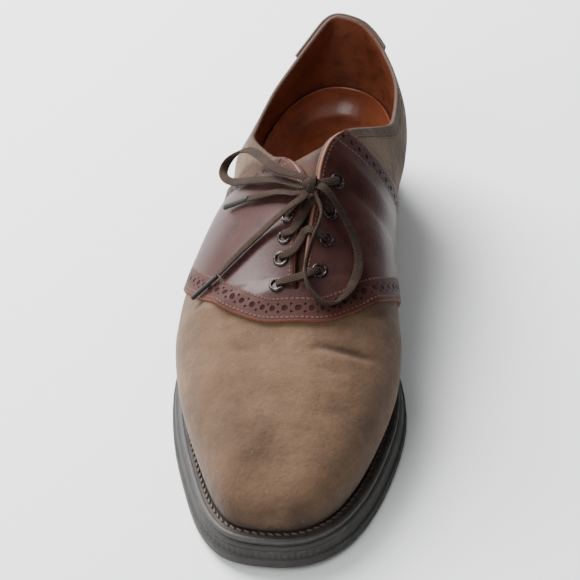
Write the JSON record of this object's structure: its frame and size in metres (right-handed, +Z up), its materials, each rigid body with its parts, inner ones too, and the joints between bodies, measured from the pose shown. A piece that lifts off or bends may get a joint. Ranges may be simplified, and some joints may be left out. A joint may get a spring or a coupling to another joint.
{
  "type": "saddle shoe",
  "caption": "Round-toed lace-up saddle shoe for the right foot: tan nubuck shell, dark brown leather saddle and heel stay, stitched welt, dark rubber sole and a flat lace tied in a bow",
  "frame": {"origin": "middle of the shoe's box on the floor", "axes": "+Y from toe to heel, +Z up, +X to the medial (big toe) side"},
  "size_m": [0.1153, 0.3063, 0.1117],
  "materials": {
    "rubber": "matt, ribbed edge",
    "welt": "waxed, stitched",
    "lining": "smooth, slightly glossy",
    "nubuck": "napped, matt",
    "saddle_leather": "smooth, waxed",
    "eyelet_metal": "dark, worn bright at the rim",
    "lace": "braided, matt",
    "lace_tip": "satin"
  },
  "bodies": {
    "root": {"outsole": "rubber", "heel": "rubber", "welt": "welt", "insole": "lining", "upper": "nubuck", "saddle": "saddle_leather", "heel_stay": "saddle_leather", "tongue": "saddle_leather", "eyelet_lateral_1": "eyelet_metal", "eyelet_lateral_2": "eyelet_metal", "eyelet_lateral_3": "eyelet_metal", "eyelet_lateral_4": "eyelet_metal", "eyelet_medial_1": "eyelet_metal", "eyelet_medial_2": "eyelet_metal", "eyelet_medial_3": "eyelet_metal", "eyelet_medial_4": "eyelet_metal", "lace_bar": "lace", "lace_cross_2": "lace", "lace_cross_3": "lace", "lace_top": "lace", "lace_knot": "lace", "lace_loop_lateral": "lace", "lace_loop_medial": "lace", "lace_end_short": "lace", "lace_end_long": "lace", "aglet_short": "lace_tip", "aglet_long": "lace_tip"}
  },
  "joints": []
}
